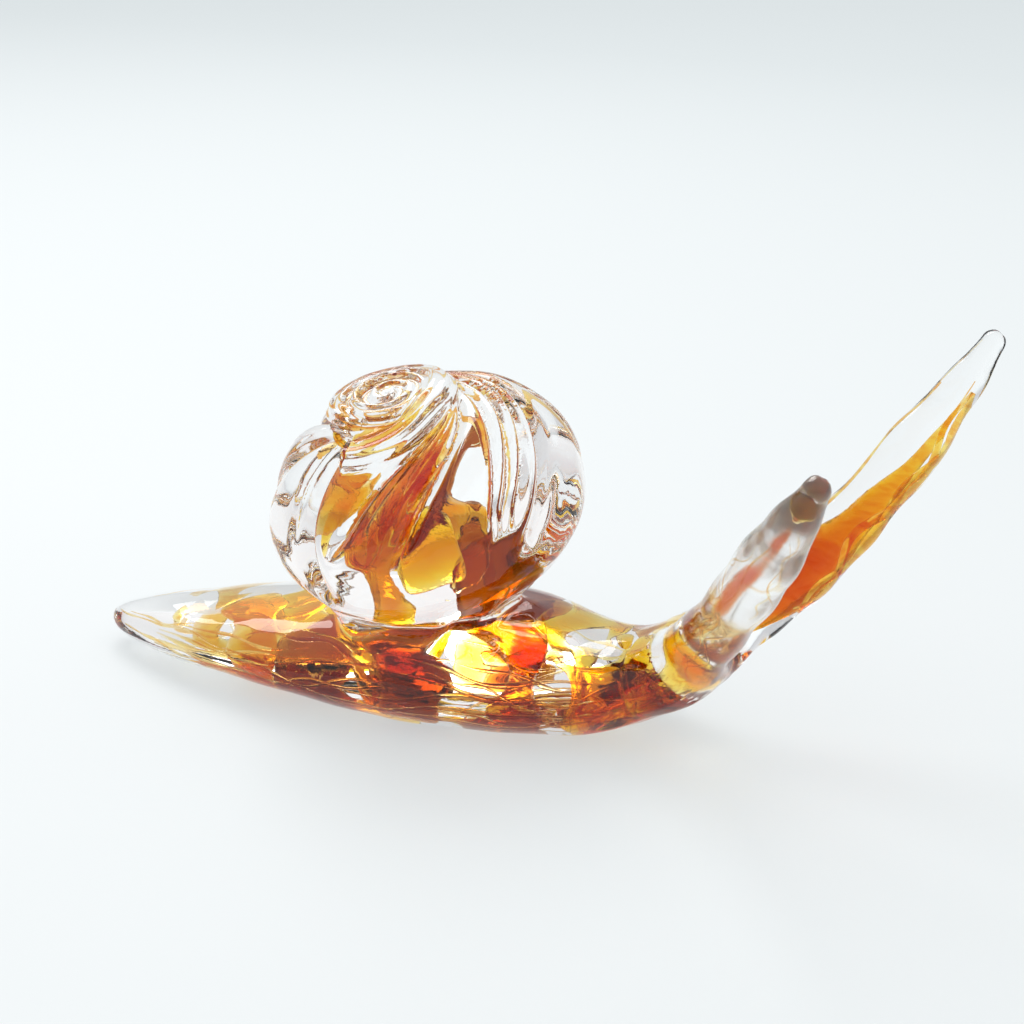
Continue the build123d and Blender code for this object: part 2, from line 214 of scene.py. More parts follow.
# The coil's distance from its axis, its height and its size at its start, and how each changes on the way
# round: the shares between which it changes, and by how much
COIL_START = math.radians(-100.0)
COIL_REACH = (8.5, ((0.0, 0.3, 5.2), (0.4, 0.65, -2.2), (0.75, 1.0, 6.0)))
COIL_HEIGHT = (24.6, ((0.0, 0.3, -1.8), (0.45, 0.7, 2.6), (0.75, 1.0, -4.6)))
COIL_SIZE = (4.0, ((0.4, 0.7, 0.6), (0.15, 0.0, -1.8)))


def crown_twist(latitude):
    """Gives how far a line of the shell has turned at a latitude, in radians. It winds up to the crown."""
    climb = np.arcsinh(np.tan(np.clip(latitude, 0.0, 1.25)))
    return np.radians(17.5 * climb + 9.4 * climb**3)


def shell_local(points):
    """Gives points in the shell's own frame, with its crown up."""
    return (points - SHELL_CENTRE) @ SHELL_TURN


def along_twist(longitude, twist, ring, equator, share):
    """Gives how far a point is, round the shell, from a line that follows the twist."""
    turn = longitude - math.radians(equator) - share * twist
    return np.arctan2(np.sin(turn), np.cos(turn)) * ring


def latitude_run(latitude, south, north):
    """Fades a line in at its south end and out at its north end."""
    run = smoothstep(math.radians(south), math.radians(south + 14), latitude)
    return run * (1 - smoothstep(math.radians(north), math.radians(north + 8), latitude))


def eased(rule, share):
    """Gives a value that changes in eased steps on the way round the coil."""
    value, changes = rule
    for start, end, change in changes:
        value = value + change * smoothstep(start, end, share)
    return value


def crown_coil(around, longitude, z):
    """Gives the last turn of the coil, which comes out from under the button at the front, passes the tail
    and the back and goes on as the rope."""
    turned = np.mod(longitude - COIL_START, 2 * math.pi)
    share = 1 - turned / (2 * math.pi)
    out = around - eased(COIL_REACH, share)
    rise = z - eased(COIL_HEIGHT, share)
    lines = 0.24 * np.cos(9.0 * np.arctan2(rise, out) + 1.0)
    return np.hypot(out, rise) - eased(COIL_SIZE, share) + lines


def crown_button(around, longitude, z):
    """Gives the button on the coil, with its spiral and the fine lines round its wall."""
    wall = around - BUTTON_RADIUS - 0.4 * np.cos(longitude - 0.9) + 0.16 * np.cos(z * 3.6)
    top = z - BUTTON_TOP + 0.03 * around**2 * smoothstep(9.0, 3.0, around)
    spiral = np.cos(longitude + around * 1.75 + 0.9 * np.sin(2 * longitude + 0.5 * around))
    top = top + 0.6 * spiral * smoothstep(10.0, 7.5, around) * smoothstep(0.3, 2.0, around)
    return smooth_max(smooth_max(wall, top, 2.6), BUTTON_FOOT - z, 1.0)


def shell_field(points):
    """Gives the field of the ribbed shell with its crown."""
    local = shell_local(points)
    x, y, z = local.T
    around = np.hypot(x, y)
    longitude = np.arctan2(y, x)
    latitude = np.arctan2(z / SHELL_RISE, around / SHELL_RADIUS)
    dome = ellipsoid((x, y, z), (SHELL_RADIUS, SHELL_RADIUS, SHELL_RISE)) - 0.6
    twist = crown_twist(latitude)
    ring = np.maximum(SHELL_RADIUS * np.cos(latitude), 4.0)
    for equator, share, depth, width, south, north in VALLEYS + LINES:
        gap = np.sqrt(along_twist(longitude, twist, ring, equator, share) ** 2 + 0.12)
        dome = dome + depth * latitude_run(latitude, south, north) * np.exp(-gap / width)
    equator, share, width = ROPE
    crest = along_twist(longitude, twist, ring, equator, share)
    dome = dome - ROPE_HEIGHT * latitude_run(latitude, 8, 72) * np.exp(-((crest / width) ** 2))
    crown_x, crown_y = x - CROWN_PLACE[0], y - CROWN_PLACE[1]
    crown = np.hypot(crown_x, crown_y), np.arctan2(crown_y, crown_x), z
    whole = smooth_min(dome, crown_coil(*crown), 1.6)
    whole = smooth_min(whole, crown_button(*crown), 0.7)
    return whole + 0.3 * ripple(local, 6.0, 1.9)


# Tentacles: the middle line of each, then its radius by how far along it is
THROAT = np.array((65.9, 0.0, 19.6))
LEFT_LINE = (
    THROAT + (0.0, 6.0, 0.0),
    np.array((95.2, 21.0, 41.55)),
    np.array((123.4, 35.4, 91.6)),
)
RIGHT_LINE = (
    THROAT + (0.0, -6.0, 0.0),
    np.array((86.45, -23.75, 43.55)),
    np.array((106.2, -40.7, 77.6)),
)
LEFT_RADII = (
    (0.0, 6.6), (0.2, 7.6), (0.36, 8.0), (0.48, 7.4), (0.56, 7.0), (0.63, 6.2), (0.72, 7.1), (0.79, 6.6),
    (0.86, 4.6), (0.92, 4.7), (1.0, 2.2),
)
RIGHT_RADII = ((0.0, 6.6), (0.2, 7.2), (0.42, 6.6), (0.58, 7.2), (0.74, 6.4), (0.88, 4.8), (1.0, 3.0))


def line_point(line, share):
    """Gives the point a share of the way along a tentacle's middle line."""
    root, bend, tip = line
    share = np.asarray(share)[..., None]
    return (1 - share) ** 2 * root + 2 * share * (1 - share) * bend + share**2 * tip


def line_slope(line, share):
    """Gives the way a tentacle's middle line runs at a share of its length."""
    root, bend, tip = line
    share = np.asarray(share)[..., None]
    return 2 * (1 - share) * (bend - root) + 2 * share * (tip - bend)


# The way to the side of the snail that shows
SHOWN_SIDE = np.array((0.385, -0.864, 0.326))
TENTACLE_START = 42.0
EASING = (-0.045, -0.02, 0.0, 0.02, 0.045)


def tentacle_frame(line, share):
    """Gives the middle of a tentacle and the ways to its lower edge and to the side that shows."""
    slope = line_slope(line, share)
    slope /= np.linalg.norm(slope, axis=1)[:, None]
    front = SHOWN_SIDE - slope * (slope @ SHOWN_SIDE)[:, None]
    front /= np.linalg.norm(front, axis=1)[:, None]
    return line_point(line, share), np.cross(slope, front), front


def nearest_share(line, points):
    """Finds how far along a tentacle's middle line each point lies."""
    root, bend, tip = line
    chord = tip - root
    share = np.clip((points - root) @ chord / (chord @ chord), 0.0, 1.0)
    curve = 2 * (tip - 2 * bend + root)
    for _ in range(4):
        away = line_point(line, share) - points
        slope = line_slope(line, share)
        rate = (slope * slope).sum(-1) + away @ curve
        share = np.clip(share - (away * slope).sum(-1) / np.maximum(rate, 1.0), 0.0, 1.0)
    return share


def eased_radius(stations, share):
    """Gives a tentacle's radius, with the corners between its stations rounded off."""
    places = [place for place, _ in stations]
    sizes = [size for _, size in stations]
    return sum(np.interp(share + nudge, places, sizes) for nudge in EASING) / len(EASING)


def tentacle_field(line, stations, shift, points):
    """Gives the field of a tentacle, worked out only in front of the shell."""
    field = np.full(len(points), FAR)
    near = points[:, 0] > TENTACLE_START
    close = points[near]
    if len(close):
        share = nearest_share(line, close)
        middle, edge, front = tentacle_frame(line, share)
        away = close - middle
        angle = np.arctan2((away * front).sum(axis=1), (away * edge).sum(axis=1))
        relief = cords(angle, 12.0 * share + shift, TENTACLE_CORDS) + 0.4 * ripple(close, 4.5, shift)
        field[near] = np.linalg.norm(away, axis=1) - eased_radius(stations, share) + relief
    return field


def glass_fields(points):
    """Gives the four gathers' own fields."""
    return np.stack(
        (
            body_field(points),
            shell_field(points),
            tentacle_field(LEFT_LINE, LEFT_RADII, 0.7, points),
            tentacle_field(RIGHT_LINE, RIGHT_RADII, 2.9, points),
        )
    )


def fused(fields, points):
    """Joins the four gathers to one lump of glass with a flat resting face."""
    body, shell, left, right = fields
    whole = smooth_min(body, shell, SEAT_BLEND + SEAT_UNEVENNESS * ripple(points, 6.0, 3.3))
    whole = smooth_min(whole, smooth_min(left, right, FORK_BLEND), ROOT_BLEND)
    return smooth_max(whole, -points[:, 2], FLOOR_ROUNDING)


def skin_field(points):
    """Gives the field of the whole lump of glass."""
    return fused(glass_fields(points), points)


def seam_field(points, owner):
    """Gives where one gather ends and the others begin, negative on the owner's side."""
    fields = glass_fields(points)
    others = np.delete(fields, owner, axis=0).min(axis=0)
    return fields[owner] - others


def grid_points(low, high, step):
    """Gives the points of a grid that fills a box, and how many there are each way."""
    axes = [np.arange(a, b + step, step) for a, b in zip(low, high)]
    shape = tuple(len(axis) for axis in axes)
    return np.stack(np.meshgrid(*axes, indexing="ij"), axis=-1).reshape(-1, 3), shape


def surface_net(values, low, step):
    """Skins a grid of field values: one point in each cell that the skin crosses, and a face across each
    grid line that it cuts."""
    cells = tuple(n - 1 for n in values.shape)
    total = np.zeros(cells + (3,), np.float32)
    count = np.zeros(cells, np.float32)
    for axis in range(3):
        others = [a for a in range(3) if a != axis]
        for first in (0, 1):
            for second in (0, 1):
                start = [None] * 3
                start[axis] = slice(0, -1)
                for other, side in zip(others, (first, second)):
                    start[other] = slice(1, None) if side else slice(0, -1)
                end = list(start)
                end[axis] = slice(1, None)
                a, b = values[tuple(start)], values[tuple(end)]
                cut = (a < 0) != (b < 0)
                share = np.where(cut, a / np.where(cut, a - b, 1.0), 0.0)
                total[..., axis] += share
                for other, side in zip(others, (first, second)):
                    total[..., other] += side * cut
                count += cut
    active = count > 0
    number = np.full(cells, -1, np.int64)
    number[active] = np.arange(active.sum())
    places = np.argwhere(active) + total[active] / count[active][:, None]
    faces = []
    for axis in range(3):
        b, c = [(axis + 1) % 3, (axis + 2) % 3]
        inner = [slice(1, -1)] * 3
        inner[axis] = slice(None)
        inside = values[tuple(inner)] < 0
        before = np.take(inside, range(inside.shape[axis] - 1), axis)
        after = np.take(inside, range(1, inside.shape[axis]), axis)
        for cut, order in ((before & ~after, (0, 2, 3, 1)), (~before & after, (0, 1, 3, 2))):
            place = np.argwhere(cut)
            ring = []
            for step_b in (0, 1):
                for step_c in (0, 1):
                    shifted = place.copy()
                    shifted[:, b] += step_b
                    shifted[:, c] += step_c
                    ring.append(number[tuple(shifted.T)])
            faces.append(np.stack([ring[i] for i in order], axis=1))
    return np.array(low) + places * step, np.concatenate(faces)


LEAST_STEEPNESS = 0.05
LONGEST_SLIDE = 0.8


def slide(points, field, rounds=3, nudge=0.04):
    """Moves points along a field's slope on to its skin."""
    moves = np.eye(3) * nudge
    for _ in range(rounds):
        rises = [(field(points + move) - field(points - move)) / (2 * nudge) for move in moves]
        slope = np.stack(rises, axis=1)
        steep = np.maximum((slope * slope).sum(axis=1), LEAST_STEEPNESS)
        step = (field(points) / steep)[:, None] * slope
        points = points - np.clip(step, -LONGEST_SLIDE, LONGEST_SLIDE)
    return points


def add_mesh(name, points, faces, materials, face_kinds=None):
    """Makes an object of a skin in millimetres, with sharp edges where two kinds of face meet. A face that
    names a point twice is a triangle."""
    mesh = bpy.data.meshes.new(name)
    mesh.from_pydata((points * MM).tolist(), [], [list(dict.fromkeys(face)) for face in faces.tolist()])
    for material in materials:
        mesh.materials.append(material)
    mesh.polygons.foreach_set("use_smooth", [True] * len(mesh.polygons))
    if face_kinds is not None:
        mesh.polygons.foreach_set("material_index", face_kinds.astype(np.int32))
        loop_edges = np.empty(len(mesh.loops), np.int32)
        mesh.loops.foreach_get("edge_index", loop_edges)
        loop_kinds = np.repeat(face_kinds, [len(face) for face in faces])
        on_skin, on_seal = (
            np.bincount(loop_edges[loop_kinds == kind], minlength=len(mesh.edges)) > 0 for kind in (0, 1)
        )
        sharp = mesh.attributes.new("sharp_edge", "BOOLEAN", "EDGE")
        sharp.data.foreach_set("value", on_skin & on_seal)
    mesh.validate()
    mesh.update()
    thing = bpy.data.objects.new(name, mesh)
    bpy.context.scene.collection.objects.link(thing)
    return thing


RIM_REACH = 0.6
RIM_ROUNDS = 4


def add_gather(name, owner, low, high, step, glass, seal):
    """Skins one gather of clear glass out of the fused lump. Where it is fused to its neighbours it is
    closed by a seal that light passes through."""
    points, shape = grid_points(low, high, step)
    fields = glass_fields(points)
    whole = fused(fields, points)
    seam = fields[owner] - np.delete(fields, owner, axis=0).min(axis=0)
    places, faces = surface_net(np.maximum(whole, seam).reshape(shape), low, step)
    depth = skin_field(places)
    beyond = seam_field(places, owner)
    at_seam = np.maximum(np.abs(depth), np.abs(beyond)) < RIM_REACH * step
    on_seal = ~at_seam & (beyond > depth)
    on_skin = ~at_seam & ~on_seal
    places[on_skin] = slide(places[on_skin], skin_field)
    rim = places[at_seam]
    if len(rim):
        for _ in range(RIM_ROUNDS):
            rim = slide(rim, skin_field, 1)
            rim = slide(rim, lambda p: seam_field(p, owner), 1)
        places[at_seam] = slide(rim, skin_field, 1)
    face_kinds = on_seal[faces].any(axis=1).astype(np.int32)
    return add_mesh(name, places, faces, (glass, seal), face_kinds)


# Materials
CORD_SCALE = 55.0
CORD_STRETCH = (0.5, 1.0, 1.6)
STREAK_SCALE = 240.0
STREAK_STRETCH = (0.3, 1.0, 1.0)


def new_material(name):
    """Makes a material with nothing in it but its output."""
    material = bpy.data.materials.new(name)
    material.use_nodes = True
    tree = material.node_tree
    tree.nodes.clear()
    return tree, tree.nodes.new("ShaderNodeOutputMaterial"), material


def noise_node(tree, scale, detail, stretch=(1, 1, 1), distortion=0.0):
    """Adds noise in the object's own metres."""
    where = tree.nodes.new("ShaderNodeTexCoord")
    turn = tree.nodes.new("ShaderNodeMapping")
    turn.inputs["Scale"].default_value = stretch
    noise = tree.nodes.new("ShaderNodeTexNoise")
    noise.inputs["Scale"].default_value = scale
    noise.inputs["Detail"].default_value = detail
    noise.inputs["Distortion"].default_value = distortion
    tree.links.new(where.outputs["Object"], turn.inputs["Vector"])
    tree.links.new(turn.outputs["Vector"], noise.inputs["Vector"])
    return noise


def add_bump(tree, shader, noise, height, strength):
    """Gives a shader the relief of a noise, with its height in metres."""
    bump = tree.nodes.new("ShaderNodeBump")
    bump.inputs["Distance"].default_value = height
    bump.inputs["Strength"].default_value = strength
    tree.links.new(noise.outputs["Fac"], bump.inputs["Height"])
    tree.links.new(bump.outputs["Normal"], shader.inputs["Normal"])


def add_ramp(tree, source, low, low_colour, high, high_colour):
    """Adds a ramp between two colours, driven by a value."""
    ramp = tree.nodes.new("ShaderNodeValToRGB")
    for element, position, colour in zip(
        ramp.color_ramp.elements, (low, high), (low_colour, high_colour)
    ):
        element.position = position
        element.color = (*colour, 1.0)
    tree.links.new(source, ramp.inputs["Fac"])
    return ramp


def clear_material(name, ior, roughness=0.0, gloss=0.0):
    """Clear glass with the faint cords and swells of a hot gather."""
    tree, out, material = new_material(name)
    shader = tree.nodes.new("ShaderNodeBsdfPrincipled")
    shader.inputs["Base Color"].default_value = (1.0, 1.0, 1.0, 1.0)
    shader.inputs["Roughness"].default_value = roughness
    shader.inputs["IOR"].default_value = ior
    shader.inputs["Transmission Weight"].default_value = 1.0
    shader.inputs["Coat Weight"].default_value = gloss
    swells = noise_node(tree, CORD_SCALE, 2.0, CORD_STRETCH, 0.6)
    add_bump(tree, shader, swells, 0.002, 0.14)
    tree.links.new(shader.outputs[0], out.inputs["Surface"])
    return material


def seal_material():
    """Where two gathers are fused there is no surface, so light goes straight through."""
    tree, out, material = new_material("fused_seal")
    shader = tree.nodes.new("ShaderNodeBsdfTransparent")
    tree.links.new(shader.outputs[0], out.inputs["Surface"])
    return material


def tinted_material(name, thin, thick, colour, density, ior):
    """Coloured glass cased in clear glass. Its colour deepens with its thickness, and streaks run in it."""
    tree, out, material = new_material(name)
    shader = tree.nodes.new("ShaderNodeBsdfPrincipled")
    shader.inputs["Roughness"].default_value = 0.0
    shader.inputs["IOR"].default_value = ior
    shader.inputs["Transmission Weight"].default_value = 1.0
    streaks = noise_node(tree, STREAK_SCALE, 4.0, STREAK_STRETCH, 1.5)
    ramp = add_ramp(tree, streaks.outputs["Fac"], 0.38, thick, 0.62, thin)
    tree.links.new(ramp.outputs["Color"], shader.inputs["Base Color"])
    add_bump(tree, shader, streaks, 0.003, 0.3)
    absorption = tree.nodes.new("ShaderNodeVolumeAbsorption")
    absorption.inputs["Color"].default_value = (*colour, 1.0)
    absorption.inputs["Density"].default_value = density
    tree.links.new(shader.outputs[0], out.inputs["Surface"])
    tree.links.new(absorption.outputs[0], out.inputs["Volume"])
    return material


# The near tentacle's glass is a little rough under a glossy skin, for the soft look that it has in the photo
clear_glass = clear_material("clear_glass", GLASS_INDEX)
far_glass = clear_material("far_clear_glass", 1.32)
soft_glass = clear_material("soft_clear_glass", 1.46, roughness=0.18, gloss=0.5)
fused_seal = seal_material()
# Coloured glass: its colour in thin and thick streaks, the colour that it lets through, how dense that is
# per metre, and how much it bends light
TINTS = (
    ("honey_glass", (1.0, 0.97, 0.85), (1.0, 0.9, 0.6), (0.985, 0.86, 0.03), 600.0, 1.04),
    ("amber_glass", (1.0, 0.95, 0.78), (0.93, 0.64, 0.3), (0.962, 0.81, 0.01), 600.0, 1.04),
    ("umber_glass", (0.95, 0.8, 0.6), (0.8, 0.52, 0.32), (0.85, 0.63, 0.01), 800.0, 1.05),
    ("deep_amber_glass", (1.0, 0.92, 0.66), (0.9, 0.5, 0.2), (0.972, 0.83, 0.01), 1150.0, 1.04),
)
tints = {name: tinted_material(name, *look) for name, *look in TINTS}

# Clear gathers: name, field, the corners of the box that is skinned, its step and its glass
GATHERS = (
    ("body_gather", BODY, (-91, -35, -2), (82, 35, 46), 0.85, clear_glass),
    ("shell_gather", SHELL, (-42, -48, 20), (42, 44, 88), 0.6, clear_glass),
    ("left_tentacle", LEFT, (58, -4, 12), (128, 46, 97), 0.7, far_glass),
    ("right_tentacle", RIGHT, (58, -48, 12), (112, 4, 84), 0.7, soft_glass),
)
for name, owner, low, high, step, glass in GATHERS:
    piece = add_gather(name + "_glass", owner, low, high, step, glass, fused_seal)
    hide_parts(name)
    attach(piece, "root")

# Colour cased in the gathers, in veils and lumps that follow the way the hot glass was drawn. Chips that are
# seen through their whole length take the paler tint, which shows orange there.
LONG_CHIPS = ("neck_amber_chip", "throat_amber_chip", "keel_amber_chip", "far_flank_amber_chip")
CHIP_STEP = 0.85
CHIP_GAP = 0.25
CHIP_ROUNDING = 1.0
LEAST_CELLS = 500
extras = {}
draw = np.random.default_rng(11)


def chip_slot(name):
    """Reads a chip's colour from its name."""
    for word in ("honey", "umber"):
        if word in name:
            return word + "_glass"
    return "umber_glass" if name == "right_tentacle_tip_streak" else "amber_glass"


def wave_set(count, shortest, longest, stretch):
    """Draws waves of many directions, whose sum is an uneven swirl stretched along the piece."""
    ways = draw.normal(size=(count, 3))
    ways /= np.linalg.norm(ways, axis=1)[:, None]
    lengths = draw.uniform(shortest, longest, count)
    return ways * 2 * math.pi / lengths[:, None] / np.array(stretch), draw.uniform(0, 2 * math.pi, count)


def swirl(points, waves):
    """Adds up waves at points, to a swell of about the same strength for any number of waves."""
    rates, shifts = waves
    return np.sin(points @ rates.T + shifts).sum(axis=1) * math.sqrt(2 / len(shifts))


def drawn(points):
    """Bends the edges between chips the way the hot glass was drawn."""
    x, y, z = points.T
    drag = (
        3.6 * np.sin(0.21 * z + 0.16 * y) + 2.0 * np.sin(0.37 * z - 0.3 * y + 1.0),
        2.4 * np.sin(0.14 * x + 0.2 * z) + 1.4 * np.sin(0.33 * x + 0.5),
        2.4 * np.sin(0.17 * x - 0.15 * y + 1.0) + 1.4 * np.sin(0.36 * x + 0.2 * y),
    )
    return points + np.stack(drag, axis=1)


def finish_colour(piece, name):
    """Puts a piece of colour in the place of its node."""
    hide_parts(name)
    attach(piece, "root")


START_SIDE = (0.31, 0.2, 0.93)


def tube(points, sizes, flat=1.0, turns=12):
    """Makes a closed tube along points, each ring with its own size, flattened across by a share."""
    points = np.asarray(points, float)
    slopes = np.gradient(points, axis=0)
    slopes /= np.linalg.norm(slopes, axis=1)[:, None]
    places, faces = [], []
    side = np.cross(slopes[0], START_SIDE)
    for middle, slope, size in zip(points, slopes, sizes):
        side = side - slope * (side @ slope)
        side /= np.linalg.norm(side)
        up = np.cross(slope, side)
        for turn in range(turns):
            angle = 2 * math.pi * turn / turns
            places.append(middle + size * (math.cos(angle) * side + flat * math.sin(angle) * up))
    for ring in range(len(points) - 1):
        for turn in range(turns):
            a = ring * turns + turn
            b = ring * turns + (turn + 1) % turns
            faces.append((a, b, b + turns, a + turns))
    last = (len(points) - 1) * turns
    for turn in range(1, turns - 1):
        faces.append((0, turn + 1, turn, turn))
        faces.append((last, last + turn, last + turn + 1, last + turn + 1))
    return np.array(places), np.array(faces)


def join(skins):
    """Puts several skins together as one."""
    parts, faces, count = [], [], 0
    for places, quads in skins:
        parts.append(places)
        faces.append(quads + count)
        count += len(places)
    return np.concatenate(parts), np.concatenate(faces)


def body_place(station, angle, depth):
    """Gives a point under the body's skin. Stations run as in the solids, from -1 at the tail tip through 0
    under the shell and 1 at the saddle to 2 at the head. An angle of -90 degrees faces the snail's right."""
    points = []
    for s, a in zip(station, np.radians(angle)):
        back, front, bend = max(-s, 0.0), min(max(s, 0.0), 1.0), max(s - 1.0, 0.0)
        narrowing = front * front
        half_width = FOOT_HALF_WIDTH * (1 - back**TAIL_FULLNESS) ** TAIL_TAPER
        half_width -= (FOOT_HALF_WIDTH - SADDLE_HALF_WIDTH) * narrowing
        half_width -= (SADDLE_HALF_WIDTH - HEAD_HALF_WIDTH) * bend
        tail_centre = FOOT_CENTRE - (FOOT_CENTRE - TAIL_TIP_CENTRE) * back
        centre = tail_centre - (FOOT_CENTRE - SADDLE_CENTRE) * narrowing
        top = FOOT_TOP - (FOOT_TOP - TAIL_TIP_TOP) * back**TAIL_TOP_TAPER
        half_height = top - tail_centre - (FOOT_TOP - FOOT_CENTRE - SADDLE_HALF_HEIGHT) * narrowing
        half_height -= (SADDLE_HALF_HEIGHT - HEAD_HALF_HEIGHT) * bend
        pitch = bend * HEAD_PITCH
        x = -TAIL_REACH * back + NECK_START * front + NECK_RADIUS * math.sin(pitch)
        z = centre + NECK_RADIUS * (1 - math.cos(pitch))
        up = (half_height - depth) * math.cos(a)
        y = (half_width - depth) * math.sin(a)
        points.append((x - up * math.sin(pitch), y, z + up * math.cos(pitch)))
    return np.array(points)


def body_thread(start, end, angle, wander, depth, size, shift, count=44):
    """Draws a thread of colour along the body that wanders round it."""
    along = np.linspace(0.0, 1.0, count)
    station = start + (end - start) * along
    around = angle + wander * (np.sin(5.0 * along + shift) + 0.4 * np.sin(13.0 * along + 2 * shift))
    sizes = size * np.sin(math.pi * (0.04 + 0.92 * along)) ** 0.6 * (1 + 0.35 * np.sin(19.0 * along + shift))
    return tube(body_place(station, around, depth), sizes, 0.5)


def add_threads(name, start, end, angles, depth, size):
    """Draws a chip's threads, one at each angle, and keeps them until the chip is made."""
    for angle in angles:
        shift = draw.uniform(0, 6)
        trim = draw.uniform(0, 0.12, 2)
        deep = depth + draw.uniform(-0.6, 1.4)
        extras.setdefault(name, []).append(
            body_thread(start + trim[0], end - trim[1], angle, draw.uniform(5, 12), deep, size, shift)
        )


# Threads of the body's chips: the stations between which they run, their angles, depth and size
BODY_THREADS = (
    ("tail_amber_chip", -0.97, -0.5, (-100, -70, -50, 40), 3.2, 0.5),
    ("hip_amber_chip", -0.8, -0.2, (-112, -96, -80, -62), 3.4, 0.7),
    ("flank_umber_chip", -0.55, 0.1, (-118, -104, -90, -76, -60), 3.4, 0.9),
    ("belly_umber_chip", -0.2, 1.3, (-122, -108, -94, -80, -64), 3.4, 1.1),
    ("fold_amber_chip", 0.2, 1.2, (-112, -96, -84, -66, -44), 3.4, 0.7),
    ("neck_amber_chip", 0.8, 1.9, (-110, -92, -76, -58, -36, -14), 2.6, 0.6),
    ("far_belly_umber_chip", -0.1, 0.9, (120, 100, 80, 60), 3.4, 0.7),
    ("far_neck_umber_chip", 0.7, 1.9, (104, 84, 62, 36), 2.6, 0.6),
    ("far_hip_honey_chip", -0.8, -0.1, (110, 90, 70), 3.4, 0.7),
)
for thread in BODY_THREADS:
    add_threads(*thread)

SHELL_PULL = np.array((0.62, 0.62, 0.8))


def core_seed(owner, middle):
    """Draws the seed of a shell chip in towards the shell's core."""
    if owner == SHELL:
        return SHELL_CENTRE + SHELL_TURN @ (shell_local(middle) * SHELL_PULL)
    return middle


def add_veils(owner, core, chips, waves, reach, flow):
    """Shares the coloured core of a gather out among its chips. Each chip takes the part of the swirl that
    is nearest to its own node."""
    names = [name for name, _ in chips]
    boxes = [[np.array(corner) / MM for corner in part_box(name)] for name in names]
    seeds = np.array([core_seed(owner, (low + high) / 2) for low, high in boxes])
    for index, (name, fill) in enumerate(chips):
        seed = seeds[index]
        low, high = seed - reach - 2, seed + reach + 2
        points, shape = grid_points(low, high, CHIP_STEP)
        bent = drawn(points)
        cell = np.linalg.norm(bent - seed, axis=1) - reach
        cell = np.maximum(cell, np.abs(points - seed).max(axis=1) - reach - 1)
        for other in np.delete(seeds, index, axis=0):
            apart = np.linalg.norm(other - seed)
            plane = (bent - (seed + other) / 2) @ (other - seed) / apart + CHIP_GAP
            cell = smooth_max(cell, plane, CHIP_ROUNDING)
        room = smooth_max(core(points), cell, CHIP_ROUNDING)
        tide = swirl(points, waves)
        values = smooth_max(room, (fill - tide) * flow, CHIP_ROUNDING)
        while (values < 0).sum() < LEAST_CELLS and fill > -4:
            fill -= 0.4
            values = smooth_max(room, (fill - tide) * flow, CHIP_ROUNDING)
        places, faces = surface_net(values.reshape(shape), low, CHIP_STEP)
        places, faces = join([(places, faces)] + extras.get(name, []))
        tint = "honey_glass" if name in LONG_CHIPS else chip_slot(name)
        piece = add_mesh(name + "_glass", places, faces, (tints[tint],))
        smooth = piece.modifiers.new("melt", "SMOOTH")
        smooth.factor = 0.5
        smooth.iterations = 9
        finish_colour(piece, name)


# Clear windows in the colour, which run on through it the way light from the side that shows is bent by the
# skin: place, radius and the point that the skin there faces away from
BODY_WINDOWS = (
    ((39.0, -17.0, 12.5), 4.2, (39.0, 0.0, 9.0)),
    ((-58.0, -10.0, 10.0), 3.5, (-58.0, 0.0, 8.0)),
    ((16.0, -24.0, 8.0), 2.6, (16.0, 0.0, 10.0)),
)
SHELL_WINDOWS = (
    ((-7.0, -24.0, 36.0), 5.0, SHELL_CENTRE),
    ((20.8, -22.0, 60.0), 4.5, SHELL_CENTRE),
    ((10.3, -26.0, 44.2), 6.0, SHELL_CENTRE),
)
GLASS_BEND = 1 / GLASS_INDEX
WINDOW_ROUNDING = 2.0


def with_windows(core, points, windows):
    """Cuts the clear windows out of a core of colour."""
    for place, radius, heart in windows:
        facing = np.array(place) - np.array(heart)
        facing /= np.linalg.norm(facing)
        slant = facing @ SHOWN_SIDE
        turned = GLASS_BEND * slant - math.sqrt(1 - GLASS_BEND**2 * (1 - slant**2))
        way = turned * facing - GLASS_BEND * SHOWN_SIDE
        away = points - np.array(place)
        away = away - (away @ way)[:, None] * way
        core = smooth_max(core, radius - np.linalg.norm(away, axis=1), WINDOW_ROUNDING)
    return core


# The clear glass over the colour, what is added to it at the tail and low at the sides, and the gap to a seam
BODY_COVER = 3.6
TAIL_COVER = 3.6
LOW_COVER = 6.5
SHELL_COVER = 2.0
SEAM_GAP = 0.3


def body_core(points):
    """Gives where colour may lie in the body: well inside its skin, and further inside at the tail."""
    fields = glass_fields(points)
    tail = smoothstep(-30, -75, points[:, 0])
    low = smoothstep(10.0, 1.0, points[:, 2]) * smoothstep(40, 20, points[:, 0])
    whole = fused(fields, points) + BODY_COVER + TAIL_COVER * tail + LOW_COVER * low
    return np.maximum(with_windows(whole, points, BODY_WINDOWS), fields[BODY] - fields[SHELL] + SEAM_GAP)


SHELL_CORE = (20.5, 20.0, 17.0)
SHELL_CORE_PLACE = (-2.0, -4.0, -4.5)


def shell_core(points):
    """Gives where colour may lie in the shell: a lump low in its middle."""
    fields = glass_fields(points)
    seam = fields[SHELL] - np.delete(fields, SHELL, axis=0).min(axis=0) + SEAM_GAP
    local = shell_local(points) - SHELL_CORE_PLACE
    lump = ellipsoid(local.T, SHELL_CORE) + 1.5 * ripple(points, 5.0, 0.2)
    lump = with_windows(lump, points, SHELL_WINDOWS)
    return np.maximum(np.maximum(lump, seam), fused(fields, points) + SHELL_COVER)


